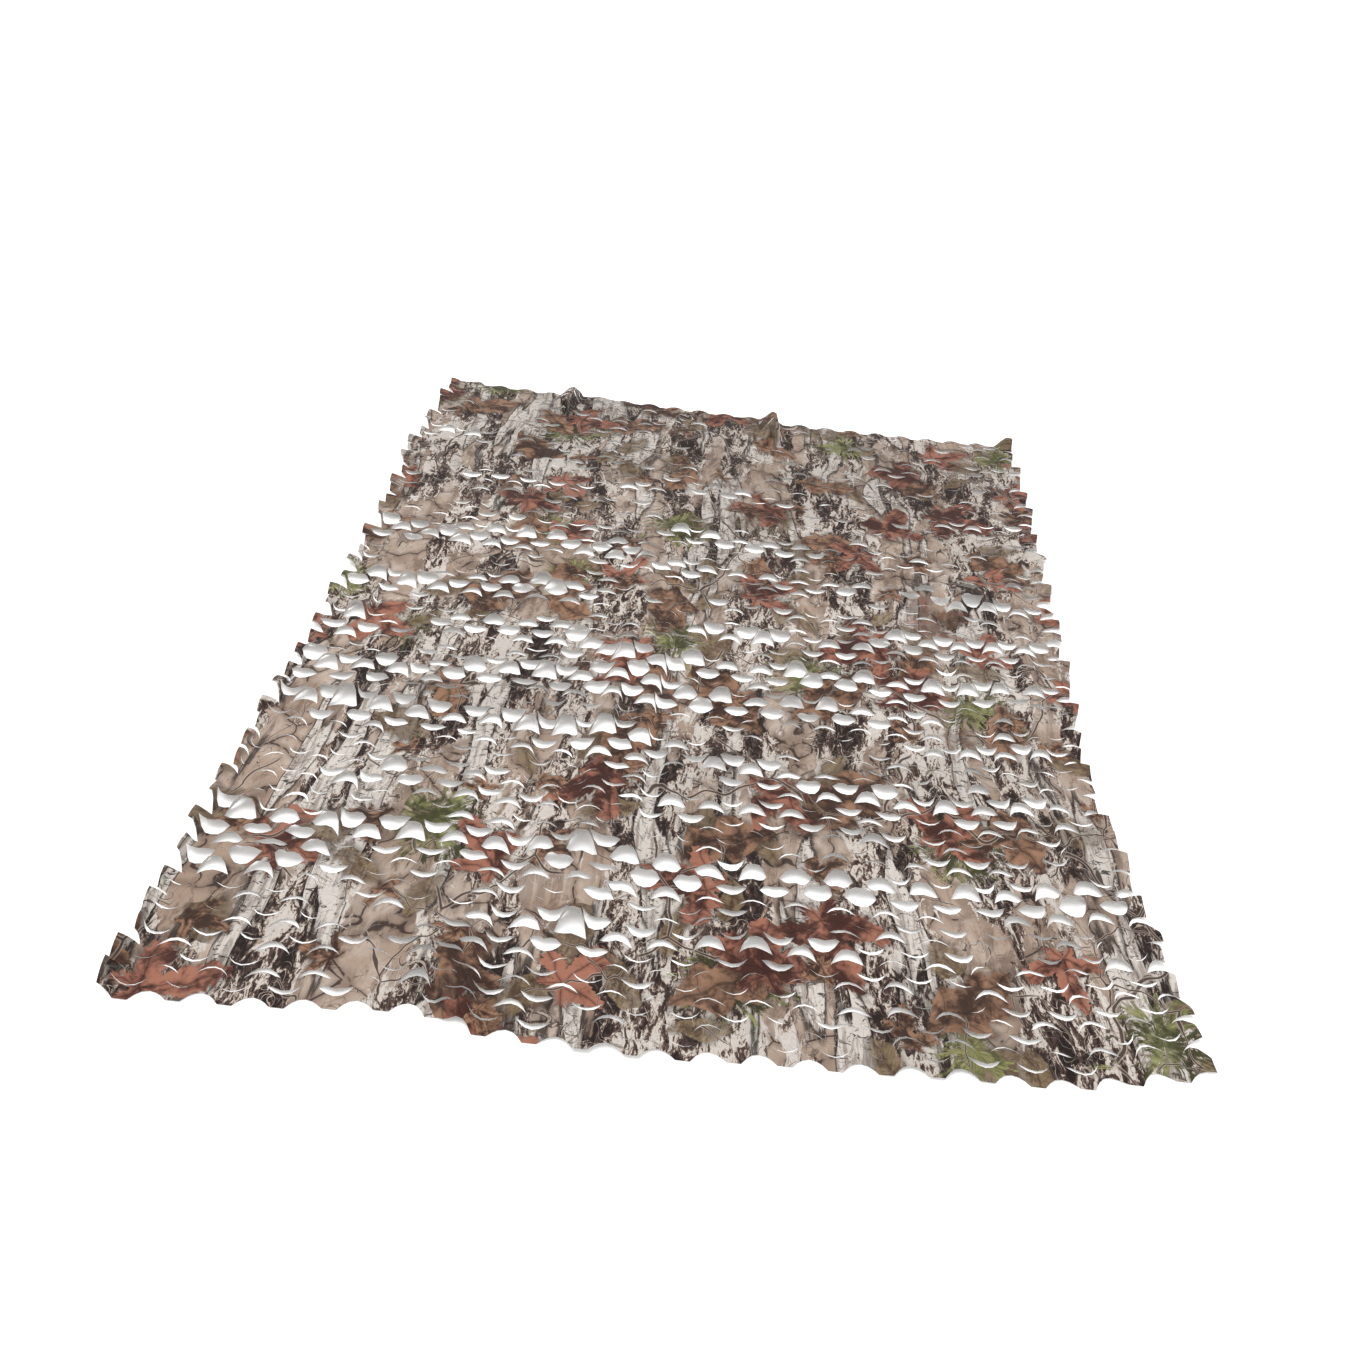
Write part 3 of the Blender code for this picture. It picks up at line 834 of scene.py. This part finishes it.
@dataclass(frozen=True)
class ForestPrint:
    """The cloth's finish: a generic woodland print of bark, trunks, leaves, sprigs and twigs on beige."""

    name: str = "printed polyester cloth"
    beige: Colour = (0.304, 0.220, 0.167)
    beige_light: Colour = (0.426, 0.350, 0.293)
    beige_shade: Colour = (0.141, 0.095, 0.073)
    bark_dark: Colour = (0.012, 0.007, 0.006)
    bark_mid: Colour = (0.074, 0.044, 0.036)
    pale: Colour = (0.517, 0.475, 0.433)
    pale_shade: Colour = (0.274, 0.232, 0.205)
    line: Colour = (0.030, 0.017, 0.014)
    reverse: Colour = (0.620, 0.590, 0.555)
    roughness: float = 0.62
    sheen: float = 0.02
    specular: float = 0.12
    weave: float = 1800.0  # threads in a metre
    thread_depth: float = 0.0001
    crease_depth: float = 0.0022

    def ground(self, sheet: NodeSheet, flat: Wire) -> Wire:
        """Returns the beige ground, with soft upright bars and a few drawn rims of dry leaves."""
        cloud = sheet.noise(flat, 9.0, 6.0, 0.66)
        tone = sheet.mix(sheet.step(cloud, 0.34, 0.68), self.beige, self.beige_light)
        bent = sheet.warped(flat, 9.0, 0.04, 3.0)
        mottle = sheet.noise(sheet.scaled(bent, 30.0, 12.0, 0.15, 8.0), 1.0, 6.0, 0.68)
        tone = sheet.mix(sheet.step(mottle, 0.52, 0.66) * 0.75, tone, self.beige_shade)
        bars = sheet.step(sheet.noise(sheet.scaled(flat, 42.0, 3.0, 0.06, 2.0), 1.0, 3.0, 0.6), 0.47, 0.62)
        some = sheet.step(sheet.noise(flat, 5.0, 2.0), 0.42, 0.58)
        tone = sheet.mix(bars * some * 0.55, tone, self.beige_shade)
        rim = sheet.cell_edges(sheet.warped(flat, 8.0, 0.16, 2.0), 10.0)
        tone = sheet.mix(sheet.step(rim, 0.18, 0.01) * 0.55, tone, self.beige_shade)
        fine = sheet.step(rim, 0.030, 0.012) * sheet.step(sheet.noise(flat, 26.0, 3.0), 0.42, 0.50)
        return sheet.mix(fine * 0.9, tone, self.line)

    def litter(self, sheet: NodeSheet, flat: Wire, ground: Wire) -> Wire:
        """Returns the ground with curled stalks over it, dark on one side and pale on the other."""
        tone = ground
        for stretch, angle, seed in ((1.0, 0.5, 61.0), (1.6, -0.4, 83.0)):
            place = sheet.scaled(sheet.warped(flat, 11.0, 0.05, seed), 20.0, 20.0 / stretch, angle, seed)
            curve = sheet.noise(place, 1.0, 2.0, 0.45, 1.2) - 0.5
            part = sheet.step(sheet.noise(sheet.scaled(flat, 1.0, 1.0, 0.0, seed), 9.0, 3.0, 0.6), 0.46, 0.56)
            shade = sheet.step(abs(curve + 0.008), 0.014, 0.004) * part
            lit = sheet.step(abs(curve), 0.006, 0.002) * part
            tone = sheet.mix(shade * 0.75, tone, self.bark_dark)
            tone = sheet.mix(lit * 0.8, tone, self.beige_light)
        return tone

    def bark(self, sheet: NodeSheet, flat: Wire, ground: Wire) -> Wire:
        """Returns the ground with dark, pale-flecked bark over parts of it."""
        bent = sheet.warped(flat, 5.0, 0.05, 7.0)
        where = sheet.noise(sheet.scaled(bent, 8.0, 2.4, 0.10, 11.0), 1.0, 4.0, 0.6, 0.3)
        crooked = sheet.warped(flat, 16.0, 0.02, 5.0)
        flecks = sheet.noise(sheet.scaled(crooked, 62.0, 22.0, 0.16, 4.0), 1.0, 9.0, 0.70, 0.7)
        grain = sheet.noise(sheet.scaled(flat, 240.0, 110.0, 0.2, 6.0), 1.0, 4.0, 0.7)
        light = sheet.noise(sheet.scaled(bent, 15.0, 4.5, 0.05, 31.0), 1.0, 3.0, 0.6, 0.2)
        rough = flecks + 0.42 * (grain - 0.5) + 0.75 * (light - 0.5)
        tone = sheet.mix(sheet.step(rough, 0.36, 0.50), self.bark_dark, self.bark_mid)
        tone = sheet.mix(sheet.step(rough, 0.495, 0.550), tone, self.beige_light)
        tone = sheet.mix(sheet.step(rough, 0.545, 0.590), tone, self.pale)
        tone = sheet.mix(sheet.step(abs(rough - 0.505), 0.010, 0.003) * 0.9, tone, self.bark_dark)
        tone = sheet.mix(sheet.step(abs(rough - 0.640), 0.008, 0.002) * 0.7, tone, self.bark_mid)
        edge = where + 0.26 * (flecks - 0.5)
        return sheet.mix(sheet.step(edge, 0.452, 0.478), ground, tone)

    def trunks(self, sheet: NodeSheet, flat: Wire, ground: Wire) -> Wire:
        """Returns the ground with pale, narrow trunks over it, marked by short dark strokes."""
        bent = sheet.warped(flat, 4.0, 0.05, 17.0)
        where = sheet.noise(sheet.scaled(bent, 13.0, 1.6, -0.05, 23.0), 1.0, 2.0, 0.5, 0.1)
        strokes = sheet.noise(sheet.scaled(flat, 60.0, 120.0, 0.3, 9.0), 1.0, 5.0, 0.65, 0.8)
        streaks = sheet.noise(sheet.scaled(flat, 90.0, 12.0, 0.0, 15.0), 1.0, 5.0, 0.68, 0.3)
        tone = sheet.mix(sheet.step(streaks, 0.46, 0.62), self.pale, self.pale_shade)
        tone = sheet.mix(sheet.step(strokes, 0.58, 0.63) * 0.9, tone, self.bark_dark)
        edge = where + 0.10 * (streaks - 0.5)
        framed = sheet.mix(sheet.step(edge, 0.575, 0.612) * 0.85, ground, self.bark_dark)
        return sheet.mix(sheet.step(edge, 0.616, 0.628), framed, tone)

    def leaf_form(
        self, sheet: NodeSheet, kind: LeafKind, x: Wire, y: Wire, spin: Wire, ragged: Wire
    ) -> tuple[Wire, Wire]:
        """Draws one leaf round the middle of its cell.

        Args:
            sheet: the material's nodes.
            kind: which leaf.
            x: the distance to the right of the leaf's middle, in leaf radii.
            y: the distance above it, in leaf radii.
            spin: how far it is turned, from 0 to 1.
            ragged: a fine noise for its edge.

        Returns:
            A value that is over 0 inside the leaf, and one that is near 0 on its veins.
        """
        radius = (x * x + y * y) ** 0.5
        angle = sheet.maths("ARCTAN2", y, x) + spin * (2.0 * math.pi)
        ahead = radius * sheet.maths("COSINE", angle)
        aside = abs(radius * sheet.maths("SINE", angle))
        if kind.shape is LeafShape.OVAL:
            inside = 0.40 * (1.0 - ahead * ahead) - aside + 0.10 * (ragged - 0.5)
            side_veins = abs(sheet.maths("SINE", (ahead - aside) * 20.0)) * 0.14 + 0.02
            return inside, sheet.maths("MINIMUM", aside, side_veins)
        if kind.shape is LeafShape.WAVY:
            slant = ahead - 0.45 * aside
            waves = 0.50 + 0.50 * abs(sheet.maths("SINE", slant * 4.6 + 0.5))
            inside = 0.56 * (1.0 - ahead * ahead) * waves - aside + 0.16 * (ragged - 0.5)
            side_veins = abs(sheet.maths("COSINE", slant * 4.6 + 0.5)) * 0.30 + 0.01
            return inside, sheet.maths("MINIMUM", aside, side_veins)
        if kind.shape is LeafShape.STAR:
            lobe = sheet.maths("COSINE", angle * 2.5)
            point = abs(lobe) ** 1.6
            teeth = sheet.maths("PINGPONG", radius + point * 0.5, 0.09)
            longer = 0.62 + 0.38 * sheet.maths("COSINE", angle)
            inside = (0.30 + 0.66 * point) * longer - radius + 1.2 * teeth + 0.34 * (ragged - 0.5)
            return inside, abs(sheet.maths("SINE", angle * 2.5)) * radius
        spokes = sheet.noise(sheet.vector(angle * 6.5, radius * 1.5, spin * 9.0), 1.0, 4.0, 0.75)
        inside = 2.4 * (spokes - 0.5) + 0.42 - radius + 0.9 * (ragged - 0.5)
        return inside, abs(spokes - 0.46) * 0.7

    def leaves(self, sheet: NodeSheet, flat: Wire, ground: Wire, kind: LeafKind) -> Wire:
        """Returns the ground with one kind of leaf scattered over it, each with a soft shade round it."""
        place = sheet.scaled(sheet.warped(flat, 13.0, 0.034, kind.seed), 1.0, 1.0, 0.3 * kind.seed, kind.seed)
        settings = {"voronoi_dimensions": "2D", "feature": "F1"}
        inputs = {"Vector": place, "Scale": 1.0 / kind.cell, "Randomness": 0.85}
        cells = sheet.node("ShaderNodeTexVoronoi", settings, inputs)
        centre = sheet.wire(cells, "Position")
        chance = sheet.node("ShaderNodeSeparateColor", {}, {"Color": sheet.wire(cells, "Color")})
        spin, odds, tint = (sheet.wire(chance, i) for i in range(3))
        x, y = sheet.parts(sheet.vector_maths("SUBTRACT", place, centre))
        ragged = sheet.noise(place, 7.0 / kind.radius, 3.0, 0.6)
        size = kind.radius * 0.75 + (0.5 * kind.radius) * tint
        inside, veins = self.leaf_form(sheet, kind, x / size, y / size, spin, ragged)
        clumps = sheet.noise(centre, kind.clump, 1.0) - 0.5
        there = sheet.step(odds + 0.9 * clumps, kind.presence, kind.presence - 0.02)
        shade = sheet.step(inside, -0.24, 0.05) * there
        body = sheet.step(inside, -0.02, 0.04) * there
        patches = sheet.noise(place, 2.0 / kind.radius, 4.0, 0.65) - 0.5
        light = inside * 0.6 + 0.9 * (ragged - 0.5) + 3.4 * patches + 0.5 * (tint - 0.5)
        tone = sheet.mix(sheet.step(light, 0.66, -0.40), kind.base, kind.tip)
        tone = sheet.mix(sheet.step(veins, 0.140, 0.020) * 0.35, tone, kind.base)
        tone = sheet.mix(sheet.step(veins, 0.030, 0.010) * 0.55, tone, kind.vein)
        darker = sheet.mix(shade * 0.55, ground, self.bark_dark)
        return sheet.mix(body * kind.cover, darker, tone)

    def twigs(self, sheet: NodeSheet, flat: Wire, ground: Wire) -> Wire:
        """Returns the ground with thin forking twigs over it, lit on one side."""
        tone = ground
        for scale, width, seed in ((4.5, 0.0027, 31.0), (9.0, 0.0015, 47.0)):
            place = sheet.warped(sheet.scaled(flat, 1.0, 0.8, 0.5, seed), 1.4 * scale, 0.5 / scale, seed)
            near = sheet.cell_edges(place, scale) / scale
            patches = sheet.noise(sheet.scaled(flat, 1.0, 1.0, 0.0, seed + 5.0), 4.5, 1.0)
            part = sheet.step(patches, 0.54, 0.58)
            lit = sheet.step(near, 1.5 * width, 0.9 * width) * part
            dark = sheet.step(near, 0.9 * width, 0.5 * width) * part
            tone = sheet.mix(lit * 0.6, tone, self.beige_light)
            tone = sheet.mix(dark * 0.9, tone, self.line)
        return tone

    def material(self) -> bpy.types.Material:
        """Returns the material, with the print on the cloth's own flat map."""
        sheet = NodeSheet(self.name)
        flat = sheet.wire(sheet.node("ShaderNodeUVMap", {"uv_map": "cut"}, {}))
        tone = self.ground(sheet, flat)
        tone = self.bark(sheet, flat, tone)
        tone = self.trunks(sheet, flat, tone)
        tone = self.litter(sheet, flat, tone)
        for kind in LEAF_KINDS:
            tone = self.leaves(sheet, flat, tone, kind)
        tone = self.twigs(sheet, flat, tone)
        u, v = sheet.parts(flat)
        # The print is darkened towards the darkest bark colour in random patches, and more over the back part
        # of the cloth, farther from its front edge.
        worn = sheet.step(sheet.noise(flat, 3.0, 3.0, 0.6), 0.38, 0.68)
        tone = sheet.mix(0.13 * worn + 0.12 * sheet.step(v, 0.9, 1.6), tone, self.bark_dark)
        unprinted = sheet.wire(sheet.node("ShaderNodeAttribute", {"attribute_name": "unprinted"}, {}), "Fac")
        tone = sheet.mix(unprinted * 0.9, tone, self.reverse)

        turn = math.pi * self.weave
        threads = sheet.maths("SINE", u * turn) * sheet.maths("SINE", v * turn)
        creases = sheet.noise(flat, 38.0, 4.0, 0.55, 0.4)
        inputs = {"Strength": 0.35, "Distance": self.thread_depth, "Height": threads}
        weave_bump = sheet.node("ShaderNodeBump", {}, inputs)
        inputs = {"Strength": 0.6, "Distance": self.crease_depth, "Height": creases}
        inputs["Normal"] = sheet.wire(weave_bump)
        normal = sheet.wire(sheet.node("ShaderNodeBump", {}, inputs))
        gloss = self.roughness + 0.14 * (sheet.noise(flat, 60.0, 2.0) - 0.5)
        inputs = {"Base Color": tone, "Roughness": gloss, "Normal": normal, "Sheen Weight": self.sheen}
        inputs |= {"Sheen Roughness": 0.5, "Specular IOR Level": self.specular}
        shader = sheet.node("ShaderNodeBsdfPrincipled", {}, inputs)
        sheet.node("ShaderNodeOutputMaterial", {}, {"Surface": sheet.wire(shader)})
        return sheet.material


@dataclass
class Studio:
    """The plain floor, the soft lights and the camera."""

    floor_half: float = 60.0
    floor_colour: Colour = (0.93, 0.93, 0.93)
    floor_glow: float = 0.10  # emission, which brightens the shaded ground under the slits
    sky: float = 0.90
    lamp_strength: float = 1.90
    lamp_spread: float = 50.0  # degrees
    lamp_from: Colour = (-0.30, 0.20, 1.0)
    lens: float = 30.31
    camera_place: Colour = (-0.0181, -1.9269, 1.3125)
    camera_down: float = 37.5  # degrees, as are the next two
    camera_roll: float = 6.2
    camera_yaw: float = 0.349

    def floor(self) -> None:
        """Lays the pale floor under the net."""
        bpy.ops.mesh.primitive_plane_add(size=2.0 * self.floor_half)
        floor = bpy.context.object
        floor.name = "floor"
        sheet = NodeSheet("pale floor")
        inputs = {"Base Color": (*self.floor_colour, 1.0), "Roughness": 0.9, "Specular IOR Level": 0.1}
        inputs |= {"Emission Color": (1.0, 1.0, 1.0, 1.0), "Emission Strength": self.floor_glow}
        shader = sheet.node("ShaderNodeBsdfPrincipled", {}, inputs)
        sheet.node("ShaderNodeOutputMaterial", {}, {"Surface": sheet.wire(shader)})
        floor.data.materials.append(sheet.material)

    def lights(self) -> None:
        """Lights the scene from all round, and more from above, a little to the back left."""
        world = bpy.data.worlds.new("white room")
        world.use_nodes = True
        sky = world.node_tree.nodes["Background"]
        sky.inputs["Color"].default_value = (1.0, 1.0, 1.0, 1.0)
        sky.inputs["Strength"].default_value = self.sky
        bpy.context.scene.world = world
        lamp = bpy.data.lights.new("soft light", "SUN")
        lamp.energy = self.lamp_strength
        lamp.angle = math.radians(self.lamp_spread)
        holder = bpy.data.objects.new("soft light", lamp)
        holder.rotation_euler = (-Vector(self.lamp_from)).to_track_quat("-Z", "Y").to_euler()
        bpy.context.scene.collection.objects.link(holder)

    def camera(self) -> None:
        """Sets the camera at the photograph's viewing angle."""
        down = math.radians(self.camera_down)
        roll = math.radians(self.camera_roll)
        ahead = Vector((0.0, math.cos(down), -math.sin(down)))
        right = Vector((1.0, 0.0, 0.0))
        up = right.cross(ahead)
        image_right = right * math.cos(roll) + up * math.sin(roll)
        image_up = up * math.cos(roll) - right * math.sin(roll)
        axes = Matrix((image_right, image_up, -ahead)).transposed()
        turned = Matrix.Rotation(math.radians(self.camera_yaw), 3, "Z") @ axes
        lens = bpy.data.cameras.new("camera")
        lens.lens = self.lens
        lens.sensor_width = 36.0
        lens.clip_end = 200.0
        camera = bpy.data.objects.new("camera", lens)
        camera.matrix_world = Matrix.Translation(self.camera_place) @ turned.to_4x4()
        bpy.context.scene.collection.objects.link(camera)
        bpy.context.scene.camera = camera


def main() -> None:
    """Builds the net and the scene round it."""
    logging.basicConfig(level=logging.INFO, format="%(name)s: %(message)s")
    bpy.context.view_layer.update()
    DieCutCloth().build(ForestPrint())
    studio = Studio()
    studio.floor()
    studio.lights()
    studio.camera()
    bpy.context.scene.view_settings.view_transform = "Standard"


if __name__ == "__main__":
    main()
